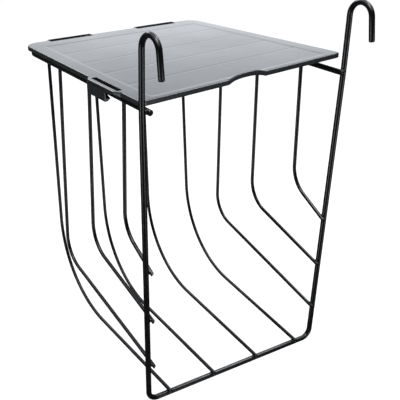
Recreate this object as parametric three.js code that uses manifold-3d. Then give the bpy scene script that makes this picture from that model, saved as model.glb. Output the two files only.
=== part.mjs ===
// Hanging hay rack with a hinged lid, for rabbits and other small animals.
// Units are millimetres and +Z is up. The wall-side face of the bottom cross wire lies in the plane y = 0,
// the basket opens towards +Y, and x = 0 is the rack's middle.
import * as THREE from "three";
import { mergeVertices } from "three/addons/utils/BufferGeometryUtils.js";
import Module from "manifold-3d";

// ---------- driving dimensions ----------
// Wires
const FRAME_R = 2.4; // hanging frame and rim wire, half their thickness
const RIB_R = 1.65; // basket ribs, half their thickness
const FRAME_SIDES = 12;
const RIB_SIDES = 8;
const WELD_GAP = 0.1; // left between welded wires, so that neighbouring solids never overlap

// Hanging frame
const LEG_X = 99.5; // leg's centre line at rim height and above it
const LEG_FOOT_X = 92.8; // leg's centre line where it would meet the cross wire
const LEG_Y = FRAME_R; // centre plane of legs and cross wire
const RIM_Z = 267; // rim wire above the cross wire
const CORNER_R = 9; // bend between leg and cross wire
const HOOK_TOP = 59; // hook's crown above the rim
const HOOK_R = 11.5; // hook bend, on the centre line
const HOOK_TURN = 171; // degrees, so that the tail flares by the rest
const TAIL_LENGTH = 20;

// Rim wire
const RIM_X = LEG_X - 2 * FRAME_R - WELD_GAP;
const RIM_BACK_Y = 215.5;
const RIM_CORNER_R = 14;
const RIM_STUB = 5; // the rim's ends pass the legs by this much

// Ribs
const RIB_TOP = 1.4; // ribs end this far above the rim's centre line
const SIDE_RIB_Y = [157.5, 101.5, 43.5];
const SIDE_BEND_Z = [73.5, 112, 152.5];
const SIDE_LEG_Z = [38, 84.5, 131.5];
const SIDE_BEND_X = 92.2;
const SIDE_BEND_R = 28;
const SIDE_STUB = 3; // past the leg's centre plane
const BACK_TOP_X = [-77, -28, 28, 77];
const BACK_BEND_X = [-80, -27, 27, 80];
const BACK_FOOT_X = [-72.5, -24.5, 24.5, 72.5];
const BACK_BEND_Y = 190.5;
const BACK_BEND_Z = 17.5;
const BACK_BEND_R = 88;
const BACK_STUB = 2.2;

// Lid, with heights above the rim wire's centre line
const LID_HALF = 98.5;
const LID_FRONT = 5.8;
const LID_BACK = 219.5;
const LID_FRONT_R = 5;
const LID_BACK_R = 13;
const LID_TOP = 6.8;
const DECK_UNDER = 4.6;
const SKIRT_UNDER = 2.7;
const SKIRT_WALL = 1.6;
const PANEL_HALF = 87;
const PANEL_Y = [10, 200];
const PANEL_R = 5;
const PANEL_DEPTH = 0.5;
const PLANKS = 5;
const GROOVE_WIDTH = 1.4;
const GROOVE_DEPTH = 0.5;
const RING_HALF = 88.5; // stiffening wall under the deck
const RING_Y = [13.5, 204];
const RING_WALL = 1.5;
const RING_UNDER = 2.9;
const BULGE = 4; // how far the edge bulges out past the clips and the latch
const BULGE_RAMP = 5;
const SIDE_BULGE_Y = [34, 87];
const SIDE_SLOT_Y = [38.8, 81];
const SIDE_SLOT_X = [-99, -94.4];
const BACK_BULGE_X = [22, 76];
const BACK_SLOT_X = [26, 72];
const BACK_SLOT_Y = [213.6, 221.8];
const SLOT_R = 1.2;
const COLLAR = 0.8; // wall round the side slot, down to just above the rim wire
const COLLAR_UNDER = 2.7;
const ARCH_HALF = 18; // raised finger arch in the front edge
const ARCH_RISE = 4;
const ARCH_POWER = 2.3; // 2 would be a parabola, more is flatter on top
const ARCH_DEPTH = 4.2;
const RELIEF_Y = [34.5, 44.5]; // arched relief in the skirt in front of the latch tab
const RELIEF_TOP = 4.3;
const CORNER_LIFT = 8.6; // the front corner away from the latch springs up by this much
const OVERLAP = 0.2; // by which joined solids run into each other
const WARP_STEP = 25; // longest edge of the moulding before it is sprung

// Latch tab and hinge clips
const TAB_Y = [54, 83.2];
const TAB_X = [-102.2, -100.2];
const TAB_UNDER = -5.6;
const TAB_GAP = 0.4;
const LIP_X = -96.4;
const LIP_TOP = -2.9;
const CLIP_X = [31, 66];
const CLIP_IN_R = 2.8;
const CLIP_OUT_R = 4.5;
const CLIP_OPENING = 100; // degrees, facing down
const CLIP_WEB_Y = [-4.3, -2.2]; // from the wire's centre line

// ---------- materials ----------
function blackWire() {
  return new THREE.MeshStandardMaterial({ color: 0x131415, roughness: 0.3, metalness: 0.2 });
}

function lidPlastic() {
  return new THREE.MeshStandardMaterial({ color: 0x34373a, roughness: 0.38, metalness: 0 });
}

// ---------- solids ----------
const wasm = await Module();
wasm.setup();

function toManifold(geometry) {
  const bare = geometry.index ? geometry.toNonIndexed() : geometry.clone();
  bare.deleteAttribute("normal");
  bare.deleteAttribute("uv");
  const merged = mergeVertices(bare, 1e-4);
  const mesh = new wasm.Mesh({
    numProp: 3,
    vertProperties: new Float32Array(merged.attributes.position.array),
    triVerts: new Uint32Array(merged.index.array),
  });
  return new wasm.Manifold(mesh);
}

function toGeometry(solid) {
  const mesh = solid.getMesh();
  const geometry = new THREE.BufferGeometry();
  geometry.setAttribute("position", new THREE.BufferAttribute(new Float32Array(mesh.vertProperties), 3));
  geometry.setIndex(new THREE.BufferAttribute(new Uint32Array(mesh.triVerts), 1));
  geometry.computeVertexNormals();
  return geometry;
}

function namedMesh(name, geometry, material) {
  const mesh = new THREE.Mesh(geometry, material);
  mesh.name = name;
  return mesh;
}

// A flat shape in X and Y, raised from one height to another.
function slab(shape, low, high) {
  const geometry = new THREE.ExtrudeGeometry(shape, {
    depth: high - low,
    bevelEnabled: false,
    curveSegments: 6,
  });
  geometry.translate(0, 0, low);
  return geometry;
}

function block(x0, x1, y0, y1, z0, z1) {
  const geometry = new THREE.BoxGeometry(x1 - x0, y1 - y0, z1 - z0);
  geometry.translate((x0 + x1) / 2, (y0 + y1) / 2, (z0 + z1) / 2);
  return geometry;
}

// ---------- bent wire ----------
// A wire's centre line as stations with their true tangents, joined by straight steps.
class WirePath extends THREE.Curve {
  constructor(stations) {
    super();
    this.stations = stations;
  }

  getPointAt(u) {
    return this.stations[Math.round(u * (this.stations.length - 1))].point.clone();
  }

  getTangentAt(u) {
    return this.stations[Math.round(u * (this.stations.length - 1))].tangent.clone();
  }
}

// Bends wire the way a bending machine does: feed a straight length, then turn about an axis.
class Bender {
  constructor(start, direction) {
    this.point = start.clone();
    this.tangent = direction.clone().normalize();
    this.stations = [];
    this.mark();
  }

  mark() {
    this.stations.push({ point: this.point.clone(), tangent: this.tangent.clone() });
  }

  feed(length) {
    this.point.addScaledVector(this.tangent, length);
    this.mark();
    return this;
  }

  // Stations lie at the given angles round the bend, in degrees.
  turn(axis, radius, angles) {
    const toCentre = axis.clone().cross(this.tangent).normalize().multiplyScalar(radius);
    const centre = this.point.clone().add(toCentre);
    const arm = toCentre.clone().negate();
    const start = this.tangent.clone();
    for (const degrees of angles) {
      const angle = THREE.MathUtils.degToRad(degrees);
      this.point = centre.clone().add(arm.clone().applyAxisAngle(axis, angle));
      this.tangent = start.clone().applyAxisAngle(axis, angle);
      this.mark();
    }
    return this;
  }
}

function evenAngles(total, steps) {
  return Array.from({ length: steps }, (_, i) => (total * (i + 1)) / steps);
}

// Stations of a wire through three points, with one bend at the middle one.
function onceBent(start, corner, end, radius, steps) {
  const into = corner.clone().sub(start).normalize();
  const out = end.clone().sub(corner).normalize();
  const axis = into.clone().cross(out).normalize();
  const angle = into.angleTo(out);
  const setback = radius * Math.tan(angle / 2);
  const bender = new Bender(start, into);
  bender.feed(start.distanceTo(corner) - setback);
  bender.turn(axis, radius, evenAngles(THREE.MathUtils.radToDeg(angle), steps));
  bender.feed(corner.distanceTo(end) - setback);
  return bender.stations;
}

// The same stations mirrored in x and walked the other way.
function mirroredBack(stations) {
  return stations
    .map(({ point, tangent }) => ({
      point: new THREE.Vector3(-point.x, point.y, point.z),
      tangent: new THREE.Vector3(tangent.x, -tangent.y, -tangent.z),
    }))
    .reverse();
}

// A wire of many flats, each lying at the true radius from the centre line.
function wire(stations, radius, sides) {
  const corner = radius / Math.cos(Math.PI / sides);
  const section = new THREE.Shape();
  for (let i = 0; i < sides; i++) {
    const angle = (2 * Math.PI * (i + 0.5)) / sides;
    const place = [corner * Math.cos(angle), corner * Math.sin(angle)];
    if (i === 0) section.moveTo(...place);
    else section.lineTo(...place);
  }
  return new THREE.ExtrudeGeometry(section, {
    steps: stations.length - 1,
    extrudePath: new WirePath(stations),
    bevelEnabled: false,
  });
}

// ---------- hanging frame ----------
function legX(z) {
  return LEG_FOOT_X + ((LEG_X - LEG_FOOT_X) * z) / RIM_Z;
}

function hangingFrame() {
  const lean = Math.atan2(LEG_X - LEG_FOOT_X, RIM_Z);
  const cornerTurn = Math.PI / 2 - lean;
  const setback = CORNER_R * Math.tan(cornerTurn / 2);
  const yAxis = new THREE.Vector3(0, -1, 0);
  const xAxis = new THREE.Vector3(1, 0, 0);
  const half = new Bender(new THREE.Vector3(0, LEG_Y, 0), new THREE.Vector3(1, 0, 0));
  half.feed(LEG_FOOT_X - setback);
  half.turn(yAxis, CORNER_R, evenAngles(THREE.MathUtils.radToDeg(cornerTurn), 5));
  half.feed(Math.hypot(RIM_Z, LEG_X - LEG_FOOT_X) - setback);
  half.stations.pop();
  half.tangent.set(0, 0, 1);
  half.point.set(LEG_X, LEG_Y, RIM_Z);
  half.mark();
  half.feed(HOOK_TOP - HOOK_R);
  half.turn(xAxis, HOOK_R, [20, 40, 60, 80, 100, 120, 140, 160, HOOK_TURN]);
  half.feed(TAIL_LENGTH);
  const right = half.stations;
  return wire([...mirroredBack(right).slice(0, -1), ...right.slice(1)], FRAME_R, FRAME_SIDES);
}

// ---------- rim wire ----------
function rimWire() {
  const zAxis = new THREE.Vector3(0, 0, 1);
  const sideLength = RIM_BACK_Y - RIM_CORNER_R - LEG_Y;
  const bender = new Bender(new THREE.Vector3(RIM_X, LEG_Y - RIM_STUB, RIM_Z), new THREE.Vector3(0, 1, 0));
  bender.feed(RIM_STUB + sideLength);
  bender.turn(zAxis, RIM_CORNER_R, evenAngles(90, 6));
  bender.feed(2 * (RIM_X - RIM_CORNER_R));
  bender.turn(zAxis, RIM_CORNER_R, evenAngles(90, 6));
  bender.feed(RIM_STUB + sideLength);
  return wire(bender.stations, FRAME_R, FRAME_SIDES);
}

// ---------- ribs ----------
const WELD_REACH = FRAME_R + RIB_R + WELD_GAP; // centre line to centre line of a rib and a thick wire

function sideRib(side, i) {
  const topX = RIM_X - WELD_REACH;
  const footX = legX(SIDE_LEG_Z[i]) - WELD_REACH;
  const top = new THREE.Vector3(side * topX, SIDE_RIB_Y[i], RIM_Z + RIB_TOP);
  const corner = new THREE.Vector3(side * SIDE_BEND_X, SIDE_RIB_Y[i] - 2, SIDE_BEND_Z[i]);
  const atLeg = new THREE.Vector3(side * footX, LEG_Y, SIDE_LEG_Z[i]);
  const end = atLeg.clone().addScaledVector(atLeg.clone().sub(corner).normalize(), SIDE_STUB);
  return wire(onceBent(top, corner, end, SIDE_BEND_R, 5), RIB_R, RIB_SIDES);
}

function backRib(i) {
  const top = new THREE.Vector3(BACK_TOP_X[i], RIM_BACK_Y - WELD_REACH, RIM_Z + RIB_TOP);
  const corner = new THREE.Vector3(BACK_BEND_X[i], BACK_BEND_Y, BACK_BEND_Z);
  const atWire = new THREE.Vector3(BACK_FOOT_X[i], LEG_Y, WELD_REACH);
  const end = atWire.clone().addScaledVector(atWire.clone().sub(corner).normalize(), BACK_STUB);
  return wire(onceBent(top, corner, end, BACK_BEND_R, 8), RIB_R, RIB_SIDES);
}

// ---------- lid ----------
function lidOutline(inset) {
  const w = LID_HALF - inset;
  const f = LID_FRONT + inset;
  const b = LID_BACK - inset;
  const rf = LID_FRONT_R - inset;
  const rb = LID_BACK_R - inset;
  const ramp = 0.4 * inset;
  const [s0, s1] = [SIDE_BULGE_Y[0] + ramp, SIDE_BULGE_Y[1] - ramp];
  const [c0, c1] = [BACK_BULGE_X[0] + ramp, BACK_BULGE_X[1] - ramp];
  const shape = new THREE.Shape();
  shape.moveTo(-w + rf, f);
  shape.lineTo(w - rf, f);
  shape.absarc(w - rf, f + rf, rf, -Math.PI / 2, 0, false);
  shape.lineTo(w, b - rb);
  shape.absarc(w - rb, b - rb, rb, 0, Math.PI / 2, false);
  shape.lineTo(c1, b);
  shape.lineTo(c1 - BULGE_RAMP, b + BULGE);
  shape.lineTo(c0 + BULGE_RAMP, b + BULGE);
  shape.lineTo(c0, b);
  shape.lineTo(-c0, b);
  shape.lineTo(-c0 - BULGE_RAMP, b + BULGE);
  shape.lineTo(-c1 + BULGE_RAMP, b + BULGE);
  shape.lineTo(-c1, b);
  shape.lineTo(-w + rb, b);
  shape.absarc(-w + rb, b - rb, rb, Math.PI / 2, Math.PI, false);
  shape.lineTo(-w, s1);
  shape.lineTo(-w - BULGE, s1 - BULGE_RAMP);
  shape.lineTo(-w - BULGE, s0 + BULGE_RAMP);
  shape.lineTo(-w, s0);
  shape.lineTo(-w, f + rf);
  shape.absarc(-w + rf, f + rf, rf, Math.PI, 1.5 * Math.PI, false);
  return shape;
}

function roundedRectangle(x0, x1, y0, y1, r) {
  const shape = new THREE.Shape();
  shape.moveTo(x0 + r, y0);
  shape.lineTo(x1 - r, y0);
  shape.absarc(x1 - r, y0 + r, r, -Math.PI / 2, 0, false);
  shape.lineTo(x1, y1 - r);
  shape.absarc(x1 - r, y1 - r, r, 0, Math.PI / 2, false);
  shape.lineTo(x0 + r, y1);
  shape.absarc(x0 + r, y1 - r, r, Math.PI / 2, Math.PI, false);
  shape.lineTo(x0, y0 + r);
  shape.absarc(x0 + r, y0 + r, r, Math.PI, 1.5 * Math.PI, false);
  return shape;
}

function archLift(x, y) {
  if (Math.abs(x) >= ARCH_HALF) return 0;
  const across = 1 - (Math.abs(x) / ARCH_HALF) ** ARCH_POWER;
  const back = Math.max(0, 1 - (y - LID_FRONT) / ARCH_DEPTH);
  return ARCH_RISE * across * back;
}

// A slab along the front edge, whose faces at or above the given height follow the finger arch.
function archSlab(y0, y1, z0, z1, liftedFrom) {
  const geometry = new THREE.BoxGeometry(2 * ARCH_HALF, y1 - y0, z1 - z0, 20, 3, 1);
  geometry.translate(0, (y0 + y1) / 2, (z0 + z1) / 2);
  const place = geometry.attributes.position;
  for (let i = 0; i < place.count; i++) {
    if (place.getZ(i) > liftedFrom - 0.01) {
      place.setZ(i, place.getZ(i) + archLift(place.getX(i), place.getY(i)));
    }
  }
  return geometry;
}

// The lid is only held down along its back and on its left, so its right front corner stands up.
function cornerLift(x, y) {
  const across = Math.max(0, (x + LID_HALF) / (2 * LID_HALF));
  const held = RIM_BACK_Y - CLIP_OUT_R;
  const forward = Math.max(0, (held - y) / (held - LID_FRONT));
  return CORNER_LIFT * across * forward;
}

function lidShell() {
  const skirt = lidOutline(0);
  skirt.holes.push(lidOutline(SKIRT_WALL));
  const ring = roundedRectangle(-RING_HALF, RING_HALF, RING_Y[0], RING_Y[1], 6);
  const insideRing = [-RING_HALF + RING_WALL, RING_HALF - RING_WALL, RING_Y[0] + RING_WALL, RING_Y[1] - RING_WALL];
  ring.holes.push(roundedRectangle(...insideRing, 4.5));
  let lid = toManifold(slab(lidOutline(0), DECK_UNDER, LID_TOP));
  lid = lid.add(toManifold(slab(skirt, SKIRT_UNDER, DECK_UNDER + OVERLAP)));
  lid = lid.add(toManifold(slab(ring, RING_UNDER, DECK_UNDER + OVERLAP)));

  const panel = roundedRectangle(-PANEL_HALF, PANEL_HALF, PANEL_Y[0], PANEL_Y[1], PANEL_R);
  lid = lid.subtract(toManifold(slab(panel, LID_TOP - PANEL_DEPTH, LID_TOP + 1)));
  const grooveFloor = LID_TOP - PANEL_DEPTH - GROOVE_DEPTH;
  for (let i = 1; i < PLANKS; i++) {
    const y = PANEL_Y[0] + ((PANEL_Y[1] - PANEL_Y[0]) * i) / PLANKS;
    const groove = block(-PANEL_HALF, PANEL_HALF, y - GROOVE_WIDTH / 2, y + GROOVE_WIDTH / 2, grooveFloor, LID_TOP);
    lid = lid.subtract(toManifold(groove));
  }

  const archBack = LID_FRONT + ARCH_DEPTH;
  const underArch = archSlab(LID_FRONT - 1, archBack, RING_UNDER - 1, DECK_UNDER, DECK_UNDER);
  lid = lid.subtract(toManifold(underArch));
  const archDeck = archSlab(LID_FRONT, archBack, DECK_UNDER - OVERLAP, LID_TOP, 0);
  const archSkirt = archSlab(LID_FRONT, LID_FRONT + SKIRT_WALL, SKIRT_UNDER, DECK_UNDER + OVERLAP, 0);
  lid = lid.add(toManifold(archDeck)).add(toManifold(archSkirt));

  for (const [x0, x1] of [BACK_SLOT_X, [-BACK_SLOT_X[1], -BACK_SLOT_X[0]]]) {
    const backSlot = roundedRectangle(x0, x1, BACK_SLOT_Y[0], BACK_SLOT_Y[1], SLOT_R);
    lid = lid.subtract(toManifold(slab(backSlot, 0, LID_TOP + 1)));
  }

  const outer = -LID_HALF - BULGE - 1;
  const inner = -LID_HALF - BULGE + SKIRT_WALL + 1.5;
  const tabRoom = block(outer, inner, TAB_Y[0] - TAB_GAP, TAB_Y[1] + TAB_GAP, 0, DECK_UNDER);
  lid = lid.subtract(toManifold(tabRoom));
  const relief = new THREE.Shape();
  relief.moveTo(RELIEF_Y[0], SKIRT_UNDER - 1);
  relief.lineTo(RELIEF_Y[1], SKIRT_UNDER - 1);
  relief.lineTo(RELIEF_Y[1], SKIRT_UNDER);
  const middle = (RELIEF_Y[0] + RELIEF_Y[1]) / 2;
  relief.quadraticCurveTo(middle, 2 * RELIEF_TOP - SKIRT_UNDER, RELIEF_Y[0], SKIRT_UNDER);
  const reliefSolid = slab(relief, outer, inner);
  reliefSolid.rotateY(Math.PI / 2);
  reliefSolid.rotateX(Math.PI / 2);
  lid = lid.subtract(toManifold(reliefSolid));

  const [s0, s1] = SIDE_SLOT_X;
  const [s2, s3] = SIDE_SLOT_Y;
  const collar = roundedRectangle(s0 - COLLAR, s1 + COLLAR, s2 - COLLAR, s3 + COLLAR, SLOT_R + COLLAR);
  lid = lid.add(toManifold(slab(collar, COLLAR_UNDER, DECK_UNDER + OVERLAP)));
  lid = lid.subtract(toManifold(slab(roundedRectangle(s0, s1, s2, s3, SLOT_R), 0, LID_TOP + 1)));

  lid = lid.refineToLength(WARP_STEP).warp((place) => {
    place[2] += cornerLift(place[0], place[1]);
  });
  return toGeometry(lid);
}

// A springy tongue that hangs outside the rim wire, with a lip that catches under it.
function latchTab() {
  const top = DECK_UNDER - TAB_GAP;
  const [outer, inner] = TAB_X;
  const profile = new THREE.Shape();
  profile.moveTo(outer, top);
  profile.lineTo(inner, top);
  profile.lineTo(inner, LIP_TOP);
  profile.lineTo(LIP_X, LIP_TOP);
  profile.lineTo(LIP_X, LIP_TOP - 0.6);
  profile.lineTo(inner + 1.2, TAB_UNDER);
  profile.lineTo(outer + 0.6, TAB_UNDER);
  profile.lineTo(outer, TAB_UNDER + 0.8);
  const geometry = slab(profile, -TAB_Y[1], -TAB_Y[0]);
  geometry.rotateX(Math.PI / 2);
  return geometry;
}

// A C-shaped clip round the rim's back wire, with a web up to the deck.
function hingeClip(side) {
  const halfGap = THREE.MathUtils.degToRad(CLIP_OPENING / 2);
  const [webFront, webBack] = CLIP_WEB_Y;
  const profile = new THREE.Shape();
  profile.absarc(0, 0, CLIP_OUT_R, -Math.PI / 2 + halfGap, Math.acos(webBack / CLIP_OUT_R), false);
  profile.lineTo(webBack, DECK_UNDER);
  profile.lineTo(webFront, DECK_UNDER);
  profile.absarc(0, 0, CLIP_OUT_R, Math.acos(webFront / CLIP_OUT_R), 1.5 * Math.PI - halfGap, false);
  profile.absarc(0, 0, CLIP_IN_R, 1.5 * Math.PI - halfGap, -Math.PI / 2 + halfGap, true);
  const geometry = new THREE.ExtrudeGeometry(profile, {
    depth: CLIP_X[1] - CLIP_X[0],
    bevelEnabled: false,
    curveSegments: 8,
  });
  geometry.rotateX(Math.PI / 2);
  geometry.rotateZ(Math.PI / 2);
  geometry.translate(side < 0 ? -CLIP_X[1] : CLIP_X[0], RIM_BACK_Y, 0);
  return geometry;
}

// ---------- assembly ----------
const rack = new THREE.Group();
rack.add(namedMesh("hanging_frame", hangingFrame(), blackWire()));
rack.add(namedMesh("rim_wire", rimWire(), blackWire()));
for (let i = 0; i < SIDE_RIB_Y.length; i++) {
  rack.add(namedMesh(`side_rib_left_${i + 1}`, sideRib(-1, i), blackWire()));
  rack.add(namedMesh(`side_rib_right_${i + 1}`, sideRib(1, i), blackWire()));
}
for (let i = 0; i < BACK_TOP_X.length; i++) {
  rack.add(namedMesh(`back_rib_${i + 1}`, backRib(i), blackWire()));
}

const lid = new THREE.Group();
lid.position.z = RIM_Z;
lid.add(namedMesh("lid_shell", lidShell(), lidPlastic()));
lid.add(namedMesh("hinge_clip_left", hingeClip(-1), lidPlastic()));
lid.add(namedMesh("hinge_clip_right", hingeClip(1), lidPlastic()));
lid.add(namedMesh("latch_tab", latchTab(), lidPlastic()));
rack.add(lid);

export default rack;
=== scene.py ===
"""Looks of the hanging hay rack: coated wire with welded joints, and a moulded lid with its clips and latch.

Lengths in the tables below are millimetres in the part's own frame; M turns them into metres.
"""
import math

import bmesh
import bpy
import numpy as np
from mathutils import Matrix, Vector
from mathutils.geometry import delaunay_2d_cdt


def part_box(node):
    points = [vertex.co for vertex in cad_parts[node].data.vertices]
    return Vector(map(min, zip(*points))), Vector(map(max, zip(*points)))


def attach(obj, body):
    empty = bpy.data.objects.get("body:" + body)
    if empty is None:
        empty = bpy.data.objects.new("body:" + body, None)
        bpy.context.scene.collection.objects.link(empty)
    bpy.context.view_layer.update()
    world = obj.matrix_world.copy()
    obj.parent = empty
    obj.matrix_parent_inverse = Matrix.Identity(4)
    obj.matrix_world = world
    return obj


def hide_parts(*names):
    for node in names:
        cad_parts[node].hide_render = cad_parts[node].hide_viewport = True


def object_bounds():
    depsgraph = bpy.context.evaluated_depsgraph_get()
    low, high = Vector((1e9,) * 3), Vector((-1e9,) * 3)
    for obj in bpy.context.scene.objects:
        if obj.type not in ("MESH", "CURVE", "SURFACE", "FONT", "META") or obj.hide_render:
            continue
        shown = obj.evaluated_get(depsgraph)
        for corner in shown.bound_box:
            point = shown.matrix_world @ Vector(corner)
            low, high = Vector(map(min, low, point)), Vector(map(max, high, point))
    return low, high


M = 0.001

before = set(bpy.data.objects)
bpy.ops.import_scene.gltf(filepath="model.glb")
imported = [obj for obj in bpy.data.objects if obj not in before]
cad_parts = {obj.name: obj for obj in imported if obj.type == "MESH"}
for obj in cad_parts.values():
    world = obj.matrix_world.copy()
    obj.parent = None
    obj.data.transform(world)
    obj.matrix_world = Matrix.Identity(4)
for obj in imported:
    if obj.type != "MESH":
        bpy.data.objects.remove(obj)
cad_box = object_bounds()


# ---------- places taken from the frame ----------
def box_mm(node):
    low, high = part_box(node)
    return np.array(low) / M, np.array(high) / M


_, frame_high = box_mm("hanging_frame")
rim_low, rim_high = box_mm("rim_wire")
lid_low, lid_high = box_mm("lid_shell")
tab_low, tab_high = box_mm("latch_tab")
clip_low, clip_high = box_mm("hinge_clip_right")

FRAME_R = (rim_high[2] - rim_low[2]) / 2
RIB_R = 1.65
WELD_REACH = FRAME_R + RIB_R + 0.1
LEG_X = frame_high[0] - FRAME_R
LEG_Y = FRAME_R
LEG_FOOT_X = 92.8
CORNER_R = 9.0
HOOK_R = 11.5
HOOK_TURN = 171.0
HOOK_TOP = frame_high[2] - FRAME_R
TAIL = 20.0
LEG_UPRIGHT_FROM = 4.0  # above the rim, where the leaning leg turns upright
RIM_Z = (rim_high[2] + rim_low[2]) / 2
RIM_X = rim_high[0] - FRAME_R
RIM_FRONT = rim_low[1]
RIM_BACK = rim_high[1] - FRAME_R
RIM_CORNER_R = 14.0

RIB_TOP = 1.4
SIDE_RIB_Y = [157.5, 101.5, 43.5]
SIDE_BEND_Z = [73.5, 112.0, 152.5]
SIDE_LEG_Z = [38.0, 84.5, 131.5]
SIDE_BEND_X = 92.2
SIDE_BEND_R = 28.0
SIDE_STUB = 3.0
BACK_TOP_X = [-77.0, -28.0, 28.0, 77.0]
BACK_BEND_X = [-80.0, -27.0, 27.0, 80.0]
BACK_FOOT_X = [-72.5, -24.5, 24.5, 72.5]
BACK_BEND_Y = 190.5
BACK_BEND_Z = 17.5
BACK_BEND_R = 88.0
BACK_STUB = 2.2
FRAME_SIDES = 24
RIB_SIDES = 18

# Lid, in plan and in height above the rim wire's centre line
LID_HALF = lid_high[0]
BULGE = -lid_low[0] - LID_HALF
LID_FRONT = lid_low[1]
LID_BACK = lid_high[1] - BULGE
LID_TOP = 6.8
DECK_UNDER = 4.6
SKIRT_UNDER = 2.7
SKIRT_WALL = 1.6
LID_FRONT_R = 5.0
LID_BACK_R = 13.0
PANEL = (-87.0, 87.0, 10.0, 200.0, 5.0)  # x from, x to, y from, y to, corner radius; so are the others
PANEL_DEPTH = 0.2
PLANKS = 5
GROOVE_HALF = 2.2
GROOVE_DEPTH = 0.1
RING = (-88.5, 88.5, 13.5, 204.0, 6.0)
RING_WALL = 1.5
RING_UNDER = 2.9
BULGE_RAMP = 5.0
SIDE_BULGE = (34.0, 87.0)
BACK_BULGE = (22.0, 76.0)
SIDE_SLOT = (-99.0, -94.4, 38.8, 81.0, 1.2)
BACK_SLOT = (26.0, 72.0, 213.6, 221.8, 1.2)
COLLAR = 0.8
COLLAR_UNDER = 2.7
ARCH_HALF = 18.0
ARCH_RISE = 4.0
ARCH_POWER = 2.3
ARCH_DEPTH = 4.2
CORNER_LIFT = 8.6
TAB_GAP = 0.4
TAB_WALL = 2.0
LIP_UNDER_RIM = 2.9  # the latch lip below the rim wire's centre line
RELIEF_Y = (34.5, 44.5)
RELIEF_RISE = 1.6
EDGE_TOP_R = 1.2
EDGE_LOW_R = 0.35
SLOT_EDGE = 0.35
PANEL_STEP = 3.4
GROOVE_ROWS = (-1.0, -0.66, -0.33, 0.0, 0.33, 0.66, 1.0)  # across a groove, in half widths
STEP_WIDTH = 0.05  # plan width of an upright step in the lid's underside

CLIP_IN_R = 2.8
CLIP_OUT_R = (clip_high[1] - clip_low[1]) / 2
CLIP_OPENING = 100.0
CLIP_WEB_Y = (-4.3, -2.2)


# ---------- node materials ----------
def shader_base(name):
    material = bpy.data.materials.new(name)
    material.use_nodes = True
    nodes = material.node_tree.nodes
    links = material.node_tree.links
    place = nodes.new("ShaderNodeTexCoord").outputs["Object"]
    return material, nodes, links, place


def noise(nodes, links, place, scale, detail=3.0, rough=0.5):
    n = nodes.new("ShaderNodeTexNoise")
    n.inputs["Scale"].default_value = scale
    n.inputs["Detail"].default_value = detail
    n.inputs["Roughness"].default_value = rough
    links.new(place, n.inputs["Vector"])
    return n.outputs["Fac"]


def ramp(nodes, links, value, low, high, out_low, out_high):
    m = nodes.new("ShaderNodeMapRange")
    for key, number in zip(("From Min", "From Max", "To Min", "To Max"), (low, high, out_low, out_high)):
        m.inputs[key].default_value = number
    links.new(value, m.inputs["Value"])
    return m.outputs["Result"]


def mix(nodes, links, factor, a, b):
    m = nodes.new("ShaderNodeMix")
    m.data_type = "RGBA"
    for socket, value in ((m.inputs["A"], a), (m.inputs["B"], b)):
        if isinstance(value, tuple):
            socket.default_value = (*value, 1.0)
        else:
            links.new(value, socket)
    links.new(factor, m.inputs["Factor"])
    return m.outputs["Result"]


def bump(nodes, links, height, strength, distance, under=None):
    b = nodes.new("ShaderNodeBump")
    b.inputs["Strength"].default_value = strength
    b.inputs["Distance"].default_value = distance
    links.new(height, b.inputs["Height"])
    if under is not None:
        links.new(under, b.inputs["Normal"])
    return b.outputs["Normal"]


def coated_wire():
    """Black gloss powder coat: slight orange peel, a few duller patches and the odd rubbed fleck."""
    material, nodes, links, place = shader_base("black_wire_coat")
    bsdf = nodes["Principled BSDF"]
    tone = noise(nodes, links, place, 60, 4)
    patches = ramp(nodes, links, tone, 0.35, 0.7, 0, 1)
    base = mix(nodes, links, patches, (0.0025, 0.0025, 0.0027), (0.005, 0.005, 0.0052))
    fleck = noise(nodes, links, place, 900, 5, 0.7)
    rubbed = ramp(nodes, links, fleck, 0.72, 0.80, 0, 0.3)
    base = mix(nodes, links, rubbed, base, (0.045, 0.045, 0.045))
    links.new(base, bsdf.inputs["Base Color"])
    links.new(ramp(nodes, links, tone, 0.3, 0.7, 0.16, 0.27), bsdf.inputs["Roughness"])
    bsdf.inputs["IOR"].default_value = 1.5
    peel = bump(nodes, links, noise(nodes, links, place, 700, 2), 0.12, 0.0002)
    fine = bump(nodes, links, noise(nodes, links, place, 5000, 2), 0.06, 0.00006, peel)
    links.new(fine, bsdf.inputs["Normal"])
    return material


def lid_plastic():
    """Anthracite injection moulding: satin gloss with a fine even grain and soft flow shading."""
    material, nodes, links, place = shader_base("anthracite_moulding")
    bsdf = nodes["Principled BSDF"]
    flow = noise(nodes, links, place, 14, 3)
    shading = ramp(nodes, links, flow, 0.3, 0.7, 0, 1)
    base = mix(nodes, links, shading, (0.015, 0.017, 0.019), (0.021, 0.023, 0.026))
    scuff = ramp(nodes, links, noise(nodes, links, place, 1700, 6, 0.75), 0.70, 0.80, 0, 0.25)
    base = mix(nodes, links, scuff, base, (0.08, 0.085, 0.09))
    links.new(base, bsdf.inputs["Base Color"])
    links.new(ramp(nodes, links, flow, 0.3, 0.7, 0.19, 0.26), bsdf.inputs["Roughness"])
    bsdf.inputs["IOR"].default_value = 1.5
    sink = bump(nodes, links, noise(nodes, links, place, 28, 2), 0.25, 0.0006)
    grain = bump(nodes, links, noise(nodes, links, place, 4200, 3, 0.6), 0.12, 0.00008, sink)
    links.new(grain, bsdf.inputs["Normal"])
    return material


TABLE_GLOW = 0.63  # a light table, so that the floor is an even white


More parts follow.
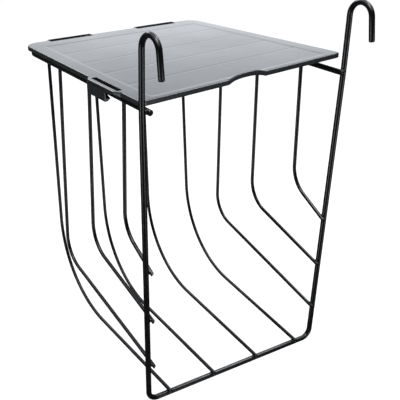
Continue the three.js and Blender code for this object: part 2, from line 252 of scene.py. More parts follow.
def pale_floor():
    material, nodes, links, place = shader_base("pale_floor")
    bsdf = nodes["Principled BSDF"]
    tone = noise(nodes, links, place, 3, 2)
    links.new(mix(nodes, links, tone, (0.35, 0.35, 0.35), (0.37, 0.37, 0.37)), bsdf.inputs["Base Color"])
    bsdf.inputs["Emission Color"].default_value = (1, 1, 1, 1)
    bsdf.inputs["Emission Strength"].default_value = TABLE_GLOW
    bsdf.inputs["Roughness"].default_value = 0.9
    bsdf.inputs["Specular IOR Level"].default_value = 0.1
    return material


WIRE = coated_wire()
PLASTIC = lid_plastic()


# ---------- mesh helpers ----------
def piece(name, bm, material, body, nodes, sharp=35.0):
    """Turns a bmesh in millimetres into a smooth-shaded piece that rides on a body."""
    bmesh.ops.remove_doubles(bm, verts=bm.verts, dist=1e-4)
    bmesh.ops.recalc_face_normals(bm, faces=bm.faces)
    bmesh.ops.scale(bm, vec=(M, M, M), verts=bm.verts)
    mesh = bpy.data.meshes.new(name)
    for face in bm.faces:
        face.smooth = True
    for edge in bm.edges:
        if len(edge.link_faces) == 2 and edge.calc_face_angle(0.0) > math.radians(sharp):
            edge.smooth = False
    bm.to_mesh(mesh)
    bm.free()
    mesh.materials.append(material)
    obj = bpy.data.objects.new(name, mesh)
    bpy.context.scene.collection.objects.link(obj)
    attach(obj, body)
    if nodes:
        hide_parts(*nodes)
    return obj


def weigh_normals(obj):
    weighted = obj.modifiers.new("face_weighted", "WEIGHTED_NORMAL")
    weighted.keep_sharp = True
    weighted.weight = 70


# ---------- bent wire ----------
class Bender:
    """Bends wire the way a bending machine does: feed a straight length, then turn about an axis."""

    def __init__(self, point, direction):
        self.point = Vector(point)
        self.tangent = Vector(direction).normalized()
        self.stations = [(self.point.copy(), self.tangent.copy())]

    def mark(self):
        self.stations.append((self.point.copy(), self.tangent.copy()))

    def feed(self, length):
        self.point = self.point + self.tangent * length
        self.mark()

    def turn(self, axis, radius, degrees, step=4.0):
        axis = Vector(axis).normalized()
        to_centre = axis.cross(self.tangent).normalized() * radius
        centre = self.point + to_centre
        start = self.tangent.copy()
        count = max(2, math.ceil(degrees / step))
        for i in range(1, count + 1):
            spin = Matrix.Rotation(math.radians(degrees * i / count), 3, axis)
            self.point = centre + spin @ -to_centre
            self.tangent = spin @ start
            self.mark()


def once_bent(start, corner, end, radius):
    start, corner, end = Vector(start), Vector(corner), Vector(end)
    into = (corner - start).normalized()
    out = (end - corner).normalized()
    angle = into.angle(out)
    setback = radius * math.tan(angle / 2)
    bender = Bender(start, into)
    bender.feed((corner - start).length - setback)
    bender.turn(into.cross(out), radius, math.degrees(angle), 3.0)
    bender.feed((end - corner).length - setback)
    return bender.stations


def wire_mesh(stations, radius, sides, nose):
    """A round tube along the stations, with the rounded nose that coating gives a cut end."""
    bm = bmesh.new()
    first_t = stations[0][1]
    helper = Vector((0, 0, 1)) if abs(first_t.z) < 0.9 else Vector((1, 0, 0))
    across = first_t.cross(helper).normalized()
    rings = []
    previous = first_t

    def ring(point, tangent, r):
        other = tangent.cross(across)
        verts = []
        for i in range(sides):
            a = 2 * math.pi * i / sides
            verts.append(bm.verts.new(point + (across * math.cos(a) + other * math.sin(a)) * r))
        rings.append(verts)

    for i, (point, tangent) in enumerate(stations):
        across = previous.rotation_difference(tangent) @ across
        across = (across - tangent * across.dot(tangent)).normalized()
        previous = tangent
        if i == 0:
            for k in range(4, 0, -1):
                a = math.pi / 2 * k / 4
                ring(point - tangent * nose * math.sin(a), tangent, radius - nose * (1 - math.cos(a)))
        ring(point, tangent, radius)
        if i == len(stations) - 1:
            for k in range(1, 5):
                a = math.pi / 2 * k / 4
                ring(point + tangent * nose * math.sin(a), tangent, radius - nose * (1 - math.cos(a)))
    for low, high in zip(rings, rings[1:]):
        for i in range(sides):
            j = (i + 1) % sides
            bm.faces.new((low[i], low[j], high[j], high[i]))
    bm.faces.new(list(reversed(rings[0])))
    bm.faces.new(rings[-1])
    return bm


def trimmed(stations, nose):
    """Pulls both ends in by the nose, so that a rounded end stops where the solid's flat end is."""
    (p0, t0), (p1, t1) = stations[0], stations[-1]
    return [(p0 + t0 * nose, t0)] + stations[1:-1] + [(p1 - t1 * nose, t1)]


def wire(name, stations, radius, sides):
    nose = 0.5 * radius
    bm = wire_mesh(trimmed(stations, nose), radius, sides, nose)
    return piece("wire_" + name, bm, WIRE, "rack", [name], sharp=80)


# ---------- the rack ----------
def leg_x(z):
    return LEG_FOOT_X + (LEG_X - LEG_FOOT_X) * z / RIM_Z


def mirrored_back(stations):
    flipped = [(Vector((-p.x, p.y, p.z)), Vector((t.x, -t.y, -t.z))) for p, t in stations]
    return flipped[::-1]


def hanging_frame():
    lean = math.atan2(LEG_X - LEG_FOOT_X, RIM_Z)
    corner_turn = math.pi / 2 - lean
    setback = CORNER_R * math.tan(corner_turn / 2)
    half = Bender((0, LEG_Y, 0), (1, 0, 0))
    half.feed(LEG_FOOT_X - setback)
    half.turn((0, -1, 0), CORNER_R, math.degrees(corner_turn))
    half.feed(math.hypot(RIM_Z, LEG_X - LEG_FOOT_X) - setback - LEG_UPRIGHT_FROM)
    half.point = Vector((LEG_X, LEG_Y, RIM_Z + LEG_UPRIGHT_FROM))
    half.tangent = Vector((0, 0, 1))
    half.mark()
    half.feed(HOOK_TOP - HOOK_R - RIM_Z - LEG_UPRIGHT_FROM)
    half.turn((1, 0, 0), HOOK_R, HOOK_TURN)
    half.feed(TAIL)
    return mirrored_back(half.stations)[:-1] + half.stations[1:]


def rim_wire():
    side = RIM_BACK - RIM_CORNER_R - RIM_FRONT
    bender = Bender((RIM_X, RIM_FRONT, RIM_Z), (0, 1, 0))
    bender.feed(side)
    bender.turn((0, 0, 1), RIM_CORNER_R, 90)
    bender.feed(2 * (RIM_X - RIM_CORNER_R))
    bender.turn((0, 0, 1), RIM_CORNER_R, 90)
    bender.feed(side)
    return bender.stations


def side_rib(side, i):
    top = (side * (RIM_X - WELD_REACH), SIDE_RIB_Y[i], RIM_Z + RIB_TOP)
    corner = Vector((side * SIDE_BEND_X, SIDE_RIB_Y[i] - 2, SIDE_BEND_Z[i]))
    at_leg = Vector((side * (leg_x(SIDE_LEG_Z[i]) - WELD_REACH), LEG_Y, SIDE_LEG_Z[i]))
    end = at_leg + (at_leg - corner).normalized() * SIDE_STUB
    return once_bent(top, corner, end, SIDE_BEND_R)


def back_rib(i):
    top = (BACK_TOP_X[i], RIM_BACK - WELD_REACH, RIM_Z + RIB_TOP)
    corner = Vector((BACK_BEND_X[i], BACK_BEND_Y, BACK_BEND_Z))
    at_wire = Vector((BACK_FOOT_X[i], LEG_Y, WELD_REACH))
    end = at_wire + (at_wire - corner).normalized() * BACK_STUB
    return once_bent(top, corner, end, BACK_BEND_R)


# ---------- weld fillets ----------
BEAD_CELL = 0.34
BEAD_SINK = 0.06  # how far the bead's surface lies inside the wires it joins


def weld_bead(bm, a, b, reach=5.2, blend=1.7):
    """Adds the smooth web of coated weld between two crossing wires, each (point, direction, radius).

    Both wires are taken as endless, so a bead also shows the wire for up to its reach beyond a cut end.
    """
    cell = BEAD_CELL
    centre = (a[0] + b[0]) / 2
    n = int(2 * reach / cell) + 3
    axis = (np.arange(n) - (n - 1) / 2) * cell
    grid = np.stack(np.meshgrid(axis, axis, axis, indexing="ij"), -1) + np.array(centre)

    def wire_distance(w):
        d = grid - np.array(w[0])
        along = d @ np.array(w[1])
        return np.sqrt(np.maximum((d * d).sum(-1) - along * along, 0)) - w[2] + BEAD_SINK

    da, db = wire_distance(a), wire_distance(b)
    h = np.maximum(blend - np.abs(da - db), 0) / blend
    field = np.minimum(da, db) - h * h * blend * 0.25
    ball = np.sqrt(((grid - np.array(centre)) ** 2).sum(-1)) - (reach - cell)
    field = np.maximum(field, ball)
    surface_nets(bm, field, grid[0, 0, 0], cell)


def surface_nets(bm, field, origin, cell):
    """Adds the closed surface where a sampled field crosses zero."""
    inside = field < 0
    n = field.shape[0]
    corners = [(i, j, k) for i in (0, 1) for j in (0, 1) for k in (0, 1)]
    count = sum(inside[i : n - 1 + i, j : n - 1 + j, k : n - 1 + k].astype(int) for i, j, k in corners)
    cells = np.argwhere((count > 0) & (count < 8))
    total = np.zeros((len(cells), 3))
    hits = np.zeros(len(cells))
    edges = [(p, q) for p in corners for q in corners if p < q and sum(abs(np.subtract(p, q))) == 1]
    for p, q in edges:
        fp = field[tuple((cells + p).T)]
        fq = field[tuple((cells + q).T)]
        cross = (fp < 0) != (fq < 0)
        t = np.where(cross, fp / np.where(cross, fp - fq, 1), 0)
        at = cells + np.array(p) + t[:, None] * (np.array(q) - np.array(p))
        total += at * cross[:, None]
        hits += cross
    places = total / hits[:, None] * cell + np.array(origin)
    verts = [bm.verts.new(p) for p in places]
    index = {tuple(c): i for i, c in enumerate(cells)}
    for d in range(3):
        step = np.eye(3, dtype=int)[d]
        u, v = np.eye(3, dtype=int)[(d + 1) % 3], np.eye(3, dtype=int)[(d + 2) % 3]
        ends = tuple(slice(0, n - 1) if i == d else slice(1, n - 1) for i in range(3))
        offset = np.array([0 if i == d else 1 for i in range(3)])
        low = inside[ends]
        shifted = tuple(slice(s.start + 1, s.stop + 1) if i == d else s for i, s in enumerate(ends))
        high = inside[shifted]
        for c in np.argwhere(low != high) + offset:
            quad = [c, c - u, c - u - v, c - v]
            if not inside[tuple(c)]:
                quad.reverse()
            face = [verts[index[tuple(q)]] for q in quad]
            bm.faces.new(face)


def where_depth_is(stations, y):
    """Point and direction of a wire where it first reaches a depth."""
    for (p, _), (q, _) in zip(stations, stations[1:]):
        if (p.y - y) * (q.y - y) <= 0 and abs(p.y - q.y) > 1e-6:
            return p.lerp(q, (y - p.y) / (q.y - p.y)), (q - p).normalized()
    return stations[-1]


wires = {"hanging_frame": hanging_frame(), "rim_wire": rim_wire()}
for i in range(3):
    wires[f"side_rib_left_{i + 1}"] = side_rib(-1, i)
    wires[f"side_rib_right_{i + 1}"] = side_rib(1, i)
for i in range(4):
    wires[f"back_rib_{i + 1}"] = back_rib(i)
for name, stations in wires.items():
    thick = name in ("hanging_frame", "rim_wire")
    wire(name, stations, *((FRAME_R, FRAME_SIDES) if thick else (RIB_R, RIB_SIDES)))

welds = bmesh.new()
for side in (-1, 1):
    leg = (Vector((side * LEG_X, LEG_Y, RIM_Z)), Vector((0, 0, 1)), FRAME_R)
    rim = (Vector((side * RIM_X, LEG_Y, RIM_Z)), Vector((0, 1, 0)), FRAME_R)
    weld_bead(welds, leg, rim, 6.2, 2.2)
    for i in range(3):
        name = f"side_rib_{'left' if side < 0 else 'right'}_{i + 1}"
        point, direction = wires[name][0]
        rim_here = Vector((side * RIM_X, point.y, RIM_Z))
        weld_bead(welds, (point, direction, RIB_R), (rim_here, Vector((0, 1, 0)), FRAME_R))
        foot, direction = where_depth_is(wires[name], LEG_Y)
        leg_here = Vector((side * leg_x(foot.z), LEG_Y, foot.z))
        up = Vector((side * (LEG_X - LEG_FOOT_X), 0, RIM_Z)).normalized()
        weld_bead(welds, (foot, direction, RIB_R), (leg_here, up, FRAME_R))
for i in range(4):
    name = f"back_rib_{i + 1}"
    point, direction = wires[name][0]
    rim_here = Vector((point.x, RIM_BACK, RIM_Z))
    weld_bead(welds, (point, direction, RIB_R), (rim_here, Vector((1, 0, 0)), FRAME_R))
    foot, direction = where_depth_is(wires[name], LEG_Y)
    wire_here = Vector((foot.x, LEG_Y, 0))
    weld_bead(welds, (foot, direction, RIB_R), (wire_here, Vector((1, 0, 0)), FRAME_R))
piece("weld_fillets", welds, WIRE, "rack", [], sharp=180)


# ---------- lid ----------
def rounded_loop(corners, step=2.0, arc_step=0.7):
    """Closed plan curve through corners (x, y, radius), anticlockwise, as points with outward normals."""
    points, normals = [], []
    n = len(corners)
    arcs = []
    for i in range(n):
        p = np.array(corners[i][:2], float)
        a = np.array(corners[i - 1][:2], float) - p
        b = np.array(corners[(i + 1) % n][:2], float) - p
        a, b = a / np.linalg.norm(a), b / np.linalg.norm(b)
        r = corners[i][2]
        half = math.acos(max(-1, min(1, a @ b))) / 2
        setback = r / math.tan(half)
        centre = p + (a + b) / np.linalg.norm(a + b) * r / math.sin(half)
        turn = math.pi - 2 * half
        convex = a[0] * b[1] - a[1] * b[0] < 0
        arcs.append((p + a * setback, p + b * setback, centre, turn, convex, r))
    for i in range(n):
        start, end, centre, turn, convex, r = arcs[i]
        count = max(2, math.ceil(turn * r / arc_step))
        sign = 1 if convex else -1
        first = start - centre
        for k in range(count + 1):
            angle = sign * turn * k / count
            c, s = math.cos(angle), math.sin(angle)
            arm = np.array([first[0] * c - first[1] * s, first[0] * s + first[1] * c])
            points.append(centre + arm)
            normals.append(sign * arm / np.linalg.norm(arm))
        nxt = arcs[(i + 1) % n][0]
        length = np.linalg.norm(nxt - end)
        count = max(1, math.ceil(length / step))
        along = (nxt - end) / max(length, 1e-9)
        for k in range(1, count):
            points.append(end + (nxt - end) * k / count)
            normals.append(np.array([along[1], -along[0]]))
    return np.array(points), np.array(normals)


def with_breaks(points, normals, cuts):
    """Adds a point wherever the loop's left side crosses a listed value of y."""
    out_p, out_n = [], []
    n = len(points)
    for i in range(n):
        p, q = points[i], points[(i + 1) % n]
        out_p.append(p)
        out_n.append(normals[i])
        crossed = [c for c in cuts if (p[1] - c) * (q[1] - c) < 0 and p[0] < 0]
        shares = sorted((c - p[1]) / (q[1] - p[1]) for c in crossed)
        for t in shares:
            normal = normals[i] * (1 - t) + normals[(i + 1) % n] * t
            out_p.append(p + (q - p) * t)
            out_n.append(normal / np.linalg.norm(normal))
    return np.array(out_p), np.array(out_n)


def lid_outline():
    w, f, b = LID_HALF, LID_FRONT, LID_BACK
    s0, s1 = SIDE_BULGE
    c0, c1 = BACK_BULGE
    r, k, soft = BULGE_RAMP, BULGE, 3.0
    back = [(c1, b, soft), (c1 - r, b + k, soft), (c0 + r, b + k, soft), (c0, b, soft)]
    side = [(-w, s1, soft), (-w - k, s1 - r, soft), (-w - k, s0 + r, soft), (-w, s0, soft)]
    right = [(w, f, LID_FRONT_R), (w, b, LID_BACK_R)] + back
    left = [(-x, y, radius) for x, y, radius in reversed(back)] + [(-w, b, LID_BACK_R)]
    return right + left + side + [(-w, f, LID_FRONT_R)]


def rectangle(x0, x1, y0, y1, r, grow=0.0):
    r = max(r + grow, 0.05)
    x0, x1, y0, y1 = x0 - grow, x1 + grow, y0 - grow, y1 + grow
    return [(x1, y0, r), (x1, y1, r), (x0, y1, r), (x0, y0, r)]


def rectangle_distance(xy, x0, x1, y0, y1, r):
    """Signed distance to a rounded rectangle, negative inside."""
    qx = np.abs(xy[:, 0] - (x0 + x1) / 2) - (x1 - x0) / 2 + r
    qy = np.abs(xy[:, 1] - (y0 + y1) / 2) - (y1 - y0) / 2 + r
    outside = np.hypot(np.maximum(qx, 0), np.maximum(qy, 0))
    return outside + np.minimum(np.maximum(qx, qy), 0) - r


def loop_distance(xy, loop):
    """Distance from points to a closed curve."""
    best = np.full(len(xy), 1e9)
    for p, q in zip(loop, np.roll(loop, -1, 0)):
        d = q - p
        t = np.clip(((xy - p) @ d) / (d @ d), 0, 1)
        best = np.minimum(best, np.linalg.norm(xy - p - t[:, None] * d, axis=1))
    return best


def inside_loop(xy, loop):
    x, y = xy[:, 0], xy[:, 1]
    result = np.zeros(len(xy), bool)
    for (x0, y0), (x1, y1) in zip(loop, np.roll(loop, -1, 0)):
        if y0 == y1:
            continue
        crosses = (y0 > y) != (y1 > y)
        result ^= crosses & (x < (x1 - x0) * (y - y0) / (y1 - y0) + x0)
    return result


def arch_lift(xy):
    x, y = xy[:, 0], xy[:, 1]
    across = 1 - np.clip(np.abs(x) / ARCH_HALF, 0, 1) ** ARCH_POWER
    back = np.clip(1 - (y - LID_FRONT) / ARCH_DEPTH, 0, 1)
    return ARCH_RISE * across * (back * back * (3 - 2 * back) * 0.5 + back * 0.5)


def corner_lift(x, y):
    """The lid is only held down along its back and on its left, so its right front corner stands up."""
    across = max(0.0, (x + LID_HALF) / (2 * LID_HALF))
    forward = max(0.0, (clip_low[1] - y) / (clip_low[1] - LID_FRONT))
    return CORNER_LIFT * across * forward


def smooth(t):
    t = np.clip(t, 0, 1)
    return t * t * (3 - 2 * t)


OUT_P, OUT_N = rounded_loop(lid_outline())
y_breaks = [tab_low[1] - TAB_GAP, tab_high[1] + TAB_GAP]
y_breaks = [b + d for b in y_breaks for d in (-STEP_WIDTH, STEP_WIDTH)]
y_breaks += list(np.linspace(*RELIEF_Y, 13))
OUT_P, OUT_N = with_breaks(OUT_P, OUT_N, y_breaks)
slots = [SIDE_SLOT, BACK_SLOT, (-BACK_SLOT[1], -BACK_SLOT[0], *BACK_SLOT[2:])]
groove_y = [PANEL[2] + (PANEL[3] - PANEL[2]) * i / PLANKS for i in range(1, PLANKS)]


def top_height(xy):
    z = np.full(len(xy), LID_TOP)
    depth = -rectangle_distance(xy, *PANEL)
    z -= PANEL_DEPTH * smooth(depth / PANEL_STEP)
    for y in groove_y:
        across = np.clip(1 - np.abs(xy[:, 1] - y) / GROOVE_HALF, 0, 1)
        z -= GROOVE_DEPTH * smooth(across) * smooth(depth / PANEL_STEP)
    return z + arch_lift(xy)


def skirt_height(xy):
    """Height of the skirt's lower edge, which is cut away round the latch tab."""
    x, y = xy[:, 0], xy[:, 1]
    z = np.full(len(xy), SKIRT_UNDER)
    low, high = tab_low[1] - TAB_GAP, tab_high[1] + TAB_GAP
    share = np.clip((np.minimum(y - low, high - y) + STEP_WIDTH) / (2 * STEP_WIDTH), 0, 1)
    z += np.where(x < -LID_HALF, (DECK_UNDER - SKIRT_UNDER) * share, 0)
    half = (RELIEF_Y[1] - RELIEF_Y[0]) / 2
    t = np.abs(y - sum(RELIEF_Y) / 2) / half
    z += np.where((x < -LID_HALF) & (t < 1), RELIEF_RISE * (1 - t * t), 0)
    return z + arch_lift(xy)


def under_height(xy):
    from_edge = loop_distance(xy, OUT_P)
    z = DECK_UNDER + arch_lift(xy)
    ring = rectangle_distance(xy, *RING)
    in_ring = np.clip(np.minimum(-ring, ring + RING_WALL) / STEP_WIDTH + 0.5, 0, 1)
    z -= (DECK_UNDER - RING_UNDER) * in_ring
    in_collar = np.clip((COLLAR - rectangle_distance(xy, *SIDE_SLOT)) / STEP_WIDTH + 0.5, 0, 1)
    z -= (DECK_UNDER - COLLAR_UNDER) * in_collar
    in_skirt = np.clip((SKIRT_WALL - from_edge) / STEP_WIDTH + 0.5, 0, 1)
    return z + (skirt_height(xy) - z) * in_skirt


def plane_field(outline, holes, lines, extra, height):
    """Triangulates a plan region with holes and feature lines, at a height given by a function."""
    verts, edges = [], []
    for loop in [outline, *holes]:
        base = len(verts)
        verts += [Vector(p) for p in loop]
        edges += [(base + i, base + (i + 1) % len(loop)) for i in range(len(loop))]
    for line in lines:
        base = len(verts)
        verts += [Vector(p) for p in line]
        edges += [(base + i, base + i + 1) for i in range(len(line) - 1)]
    verts += [Vector(p) for p in extra]
    out_v, _, faces, *_ = delaunay_2d_cdt(verts, edges, [], 0, 1e-6)
    xy = np.array([(v.x, v.y) for v in out_v])
    faces = np.array(faces)
    middle = xy[faces].mean(1)
    keep = inside_loop(middle, np.array(outline))
    for hole in holes:
        keep &= ~inside_loop(middle, np.array(hole))
    return xy, height(xy), faces[keep]


def add_field(bm, field):
    xy, z, faces = field
    used = np.unique(faces)
    verts = {i: bm.verts.new((xy[i][0], xy[i][1], RIM_Z + z[i])) for i in used}
    for face in faces:
        bm.faces.new([verts[i] for i in face])


def add_rows(bm, rows):
    """Joins closed rows of points, each as long as the next, with quads."""
    made = [[bm.verts.new((x, y, RIM_Z + z)) for (x, y), z in zip(xy, zs)] for xy, zs in rows]
    n = len(made[0])
    for low, high in zip(made, made[1:]):
        for i in range(n):
            j = (i + 1) % n
            bm.faces.new((low[i], low[j], high[j], high[i]))


def grid_points(x0, x1, y0, y1, dx, dy):
    nx, ny = max(2, round((x1 - x0) / dx)), max(2, round((y1 - y0) / dy))
    columns = [x0 + (x1 - x0) * i / nx for i in range(nx + 1)]
    rows = [y0 + (y1 - y0) * j / ny for j in range(ny + 1)]
    return [(x, y) for x in columns for y in rows]


def loop_of(rect, grow):
    return rounded_loop(rectangle(*rect, grow=grow), 3.0, 0.8)[0]


def lid_shell():
    bm = bmesh.new()
    arch_grid = grid_points(-ARCH_HALF, ARCH_HALF, LID_FRONT + 1.5, LID_FRONT + ARCH_DEPTH, 1.0, 0.6)

    top_edge = OUT_P - OUT_N * EDGE_TOP_R
    slot_loops = [rounded_loop(rectangle(*s), 3.0, 0.5) for s in slots]
    slot_wall = [p for p, _ in slot_loops]
    slot_top = [p + n * SLOT_EDGE for p, n in slot_loops]
    steps = [loop_of(PANEL, -PANEL_STEP * k / 4) for k in range(5)]
    grooves = []
    for y in groove_y:
        for row in GROOVE_ROWS:
            across = y + row * GROOVE_HALF
            grooves.append([(x, across) for x in np.linspace(PANEL[0] + 0.01, PANEL[1] - 0.01, 60)])
    closed_steps = [np.vstack([loop, loop[:1]]) for loop in steps]
    top = plane_field(top_edge, slot_top, closed_steps + grooves, arch_grid, top_height)
    add_field(bm, top)

    lower = skirt_height(OUT_P)
    rows = [(OUT_P - OUT_N * EDGE_TOP_R * (1 - math.sin(math.pi / 2 * k / 4)),
             top_height(top_edge) - EDGE_TOP_R * (1 - math.cos(math.pi / 2 * k / 4))) for k in range(5)]
    for k in range(3):
        a = math.pi / 2 * k / 2
        rows.append((OUT_P - OUT_N * EDGE_LOW_R * (1 - math.cos(a)), lower + EDGE_LOW_R * (1 - math.sin(a))))
    low_edge = OUT_P - OUT_N * EDGE_LOW_R
    rows[-1] = (low_edge, under_height(low_edge))
    add_rows(bm, rows)

    skirts = []
    for inset in (SKIRT_WALL - STEP_WIDTH / 2, SKIRT_WALL + STEP_WIDTH / 2):
        inner = OUT_P - OUT_N * inset
        skirts.append(np.vstack([inner, inner[:1]]))
    rings = []
    for grow in (STEP_WIDTH / 2, -STEP_WIDTH / 2, -RING_WALL + STEP_WIDTH / 2, -RING_WALL - STEP_WIDTH / 2):
        loop = loop_of(RING, grow)
        rings.append(np.vstack([loop, loop[:1]]))
    for grow in (COLLAR + STEP_WIDTH / 2, COLLAR - STEP_WIDTH / 2):
        loop = loop_of(SIDE_SLOT, grow)
        rings.append(np.vstack([loop, loop[:1]]))
    break_x = (-LID_HALF - 1.9, -LID_HALF - BULGE + EDGE_LOW_R + 0.02)
    breaks = [[(x, y) for x in break_x] for y in y_breaks]
    breaks = [[(x, y) for x, y in line if inside_loop(np.array([(x, y)]), low_edge)[0]] for line in breaks]
    breaks = [line for line in breaks if len(line) == 2]
    under = plane_field(low_edge, slot_wall, skirts + rings + breaks, arch_grid, under_height)
    add_field(bm, under)

    for high, wall in zip(slot_top, slot_wall):
        step = high - wall
        slot_rows = []
        for k in range(4):
            a = math.pi / 2 * k / 3
            xy = wall + step * (1 - math.sin(a))
            slot_rows.append((xy, top_height(high) - SLOT_EDGE * (1 - math.cos(a))))
        slot_rows.append((wall, under_height(wall)))
        add_rows(bm, slot_rows)
    for vert in bm.verts:
        vert.co.z += corner_lift(vert.co.x, vert.co.y)
    shell = piece("lid_moulding", bm, PLASTIC, "lid", ["lid_shell"], sharp=32)
    weigh_normals(shell)
    return shell


lid_shell()


# ---------- latch tab and hinge clips ----------
def prism(profile, low, high, axis, edge=0.35):
    """A profile (two coordinates) raised along an axis, with a small rounded edge at both ends."""
    bm = bmesh.new()
    points, normals = rounded_loop(profile, 1.5, 0.3)
    rows = []
    for k in range(4):
        a = math.pi / 2 * k / 3
        rows.append((points - normals * edge * (1 - math.sin(a)), low + edge * (1 - math.cos(a))))
    for k in range(3, -1, -1):
        a = math.pi / 2 * k / 3
        rows.append((points - normals * edge * (1 - math.sin(a)), high - edge * (1 - math.cos(a))))
    rings = []
    for xy, t in rows:
        ring = []
        for u, v in xy:
            place = (u, t, v) if axis == 1 else (t, u, v)
            ring.append(bm.verts.new(place))
        rings.append(ring)
    for a, b in zip(rings, rings[1:]):
        for i in range(len(a)):
            j = (i + 1) % len(a)
            bm.faces.new((a[i], a[j], b[j], b[i]))
    for ring in (rings[0], rings[-1]):
        bm.faces.new(ring)
    return bm


def latch_tab():
    outer, lip = tab_low[0], tab_high[0]
    inner = outer + TAB_WALL
    under, top = tab_low[2], tab_high[2]
    lip_top = RIM_Z - LIP_UNDER_RIM
    profile = [
        (outer, top, 0.3),
        (outer + 0.3, under, 0.6),
        (inner + 1.2, under, 0.5),
        (lip, lip_top - 0.6, 0.2),
        (lip, lip_top, 0.2),
        (inner, lip_top, 0.3),
        (inner, top, 0.3),
    ]
    bm = prism(profile, tab_low[1], tab_high[1], 1)
    tab = piece("latch", bm, PLASTIC, "latch", ["latch_tab"], sharp=40)
    weigh_normals(tab)


def on_circle(radius, angles, centre=(0.0, 0.0)):
    return [(centre[0] + radius * math.cos(a), centre[1] + radius * math.sin(a)) for a in angles]


def rounded_tip(end, start):
    """Half circle that closes a clip's jaw at the angle end, drawn from the direction start."""
    middle = (CLIP_OUT_R + CLIP_IN_R) / 2
    nose = (CLIP_OUT_R - CLIP_IN_R) / 2
    return on_circle(nose, [start + math.pi * k / 6 for k in range(1, 6)], on_circle(middle, [end])[0])


def hinge_clip(side):
    bm = bmesh.new()
    half_gap = math.radians(CLIP_OPENING / 2)
    web_front, web_back = CLIP_WEB_Y
    right_tip, left_tip = -math.pi / 2 + half_gap, 1.5 * math.pi - half_gap
    outline = on_circle(CLIP_OUT_R, np.linspace(right_tip, math.acos(web_back / CLIP_OUT_R), 22))
    outline += [(web_back, DECK_UNDER), (web_front, DECK_UNDER)]
    outline += on_circle(CLIP_OUT_R, np.linspace(math.acos(web_front / CLIP_OUT_R), left_tip, 22))
    outline += rounded_tip(left_tip, left_tip)
    outline += on_circle(CLIP_IN_R, np.linspace(left_tip, right_tip, 34))
    outline += rounded_tip(right_tip, right_tip + math.pi)
    x0, x1 = sorted((side * clip_low[0], side * clip_high[0]))
    rings = []
    for x in (x0, x1):
        rings.append([bm.verts.new((x, RIM_BACK + y, RIM_Z + z)) for y, z in outline])
    n = len(outline)
    for i in range(n):
        j = (i + 1) % n
        bm.faces.new((rings[0][i], rings[0][j], rings[1][j], rings[1][i]))
    for ring in rings:
        bm.faces.new(ring)
    name = "left" if side < 0 else "right"
    clip = piece(f"clip_{name}", bm, PLASTIC, "lid", [f"hinge_clip_{name}"], sharp=40)
    bevel = clip.modifiers.new("edge", "BEVEL")
    bevel.width = 0.3 * M
    bevel.segments = 2
    bevel.limit_method = "ANGLE"
    bevel.angle_limit = math.radians(50)
    weigh_normals(clip)


latch_tab()
for side in (-1, 1):
    hinge_clip(side)

# ---------- floor, light, camera ----------
low, high = Vector(cad_box[0]), Vector(cad_box[1])
FLOOR_HALF = 4.0  # metres, as are the places of lights and camera below
FLOOR_DROP = 0.10
floor_bm = bmesh.new()
bmesh.ops.create_grid(floor_bm, x_segments=24, y_segments=24, size=FLOOR_HALF)
floor_mesh = bpy.data.meshes.new("studio_floor")
floor_bm.to_mesh(floor_mesh)
floor_bm.free()
floor_mesh.materials.append(pale_floor())
floor = bpy.data.objects.new("studio_floor", floor_mesh)
floor.location = (0, 0, low.z - FLOOR_DROP)
floor.visible_glossy = False
bpy.context.scene.collection.objects.link(floor)


def softbox(name, place, aim, size, power):
    light = bpy.data.lights.new(name, "AREA")
    light.shape = "RECTANGLE"
    light.size, light.size_y = size
    light.energy = power
    obj = bpy.data.objects.new(name, light)
    obj.location = place
    obj.rotation_euler = (Vector(aim) - Vector(place)).to_track_quat("-Z", "Y").to_euler()
    obj.visible_camera = False
    bpy.context.scene.collection.objects.link(obj)


centre = (low + high) / 2
softbox("key", centre + Vector((-0.35, -0.45, 1.35)), centre, (0.45, 0.45), 8)
softbox("overhead", centre + Vector((0.75, 0.0, 1.25)), centre, (0.5, 0.5), 9)
softbox("behind", centre + Vector((-0.15, 1.3, 0.95)), centre, (0.7, 0.4), 7)


# Each lobe of the studio: direction, cosine where it starts, cosine where it is full, strength
DOME = ((0, 0, 1), 0.48, 0.85, 1.6)
WALL = ((0.55, 0.83, -0.03), 0.72, 1.0, 1.95)
WALL_FOOT = ((0, 0, 1), -0.2, 0.05, 1)
STRIPS = ((0.28, -0.92, -0.28), (-0.95, -0.1, -0.28))
STRIP_LOBE = (0.97, 0.99, 3.2)
DOME_DARK = 0.05


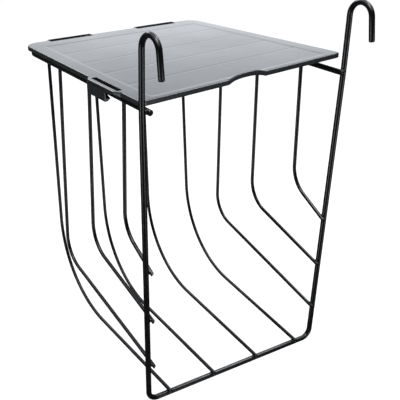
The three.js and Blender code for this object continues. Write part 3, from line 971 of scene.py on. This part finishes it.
def studio_world():
    """A white dome overhead, a bright wall behind the object, two small bright spots, and dark elsewhere.

    The wall is cut off below table height, so that upright wires seen from above do not reflect it.
    """
    world = bpy.data.worlds.new("studio")
    world.use_nodes = True
    nodes, links = world.node_tree.nodes, world.node_tree.links
    direction = nodes.new("ShaderNodeTexCoord").outputs["Generated"]

    def lobe(toward, start, full, strength):
        dot = nodes.new("ShaderNodeVectorMath")
        dot.operation = "DOT_PRODUCT"
        links.new(direction, dot.inputs[0])
        dot.inputs[1].default_value = Vector(toward).normalized()
        rise = nodes.new("ShaderNodeMapRange")
        rise.interpolation_type = "SMOOTHSTEP"
        for key, number in zip(("From Min", "From Max", "To Min", "To Max"), (start, full, 0, strength)):
            rise.inputs[key].default_value = number
        links.new(dot.outputs["Value"], rise.inputs["Value"])
        return rise.outputs["Result"]

    def combine(operation, a, b):
        result = nodes.new("ShaderNodeMath")
        result.operation = operation
        links.new(a, result.inputs[0])
        if isinstance(b, float):
            result.inputs[1].default_value = b
        else:
            links.new(b, result.inputs[1])
        return result.outputs["Value"]

    wall = combine("MULTIPLY", lobe(*WALL), lobe(*WALL_FOOT))
    strength = combine("ADD", lobe(*DOME), wall)
    for toward in STRIPS:
        strength = combine("ADD", strength, lobe(toward, *STRIP_LOBE))
    strength = combine("ADD", strength, DOME_DARK)
    sky = nodes["Background"]
    sky.inputs["Color"].default_value = (0.94, 0.97, 1.02, 1)
    links.new(strength, sky.inputs["Strength"])
    return world


bpy.context.scene.world = studio_world()
bpy.context.scene.view_settings.view_transform = "Standard"

# The camera stands where the photograph was taken from. That picture is an off-centre crop, so the lens is
# shifted, but only while the camera stands at that place: any other view of the object is a centred one.
EYE = Vector((-0.36729, -0.43369, 0.44104))
AIM = (64.981, 1.350, -29.064)
LENS = 66.595
LENS_SHIFT = {"shift_x": 0.23632, "shift_y": -0.01471}

camera = bpy.data.cameras.new("camera")
camera.lens = LENS
camera.sensor_width = 36.0
camera.clip_start = 0.01
camera_obj = bpy.data.objects.new("camera", camera)
camera_obj.location = EYE
camera_obj.rotation_euler = [math.radians(a) for a in AIM]
bpy.context.scene.collection.objects.link(camera_obj)
bpy.context.scene.camera = camera_obj
for channel, shift in LENS_SHIFT.items():
    driver = camera.driver_add(channel).driver
    driver.type = "SCRIPTED"
    eye_x = driver.variables.new()
    eye_x.name = "eye_x"
    eye_x.targets[0].id = camera_obj
    eye_x.targets[0].data_path = "location.x"
    driver.expression = f"{shift} if abs(eye_x - {EYE.x:.5f}) < 0.0001 else 0.0"
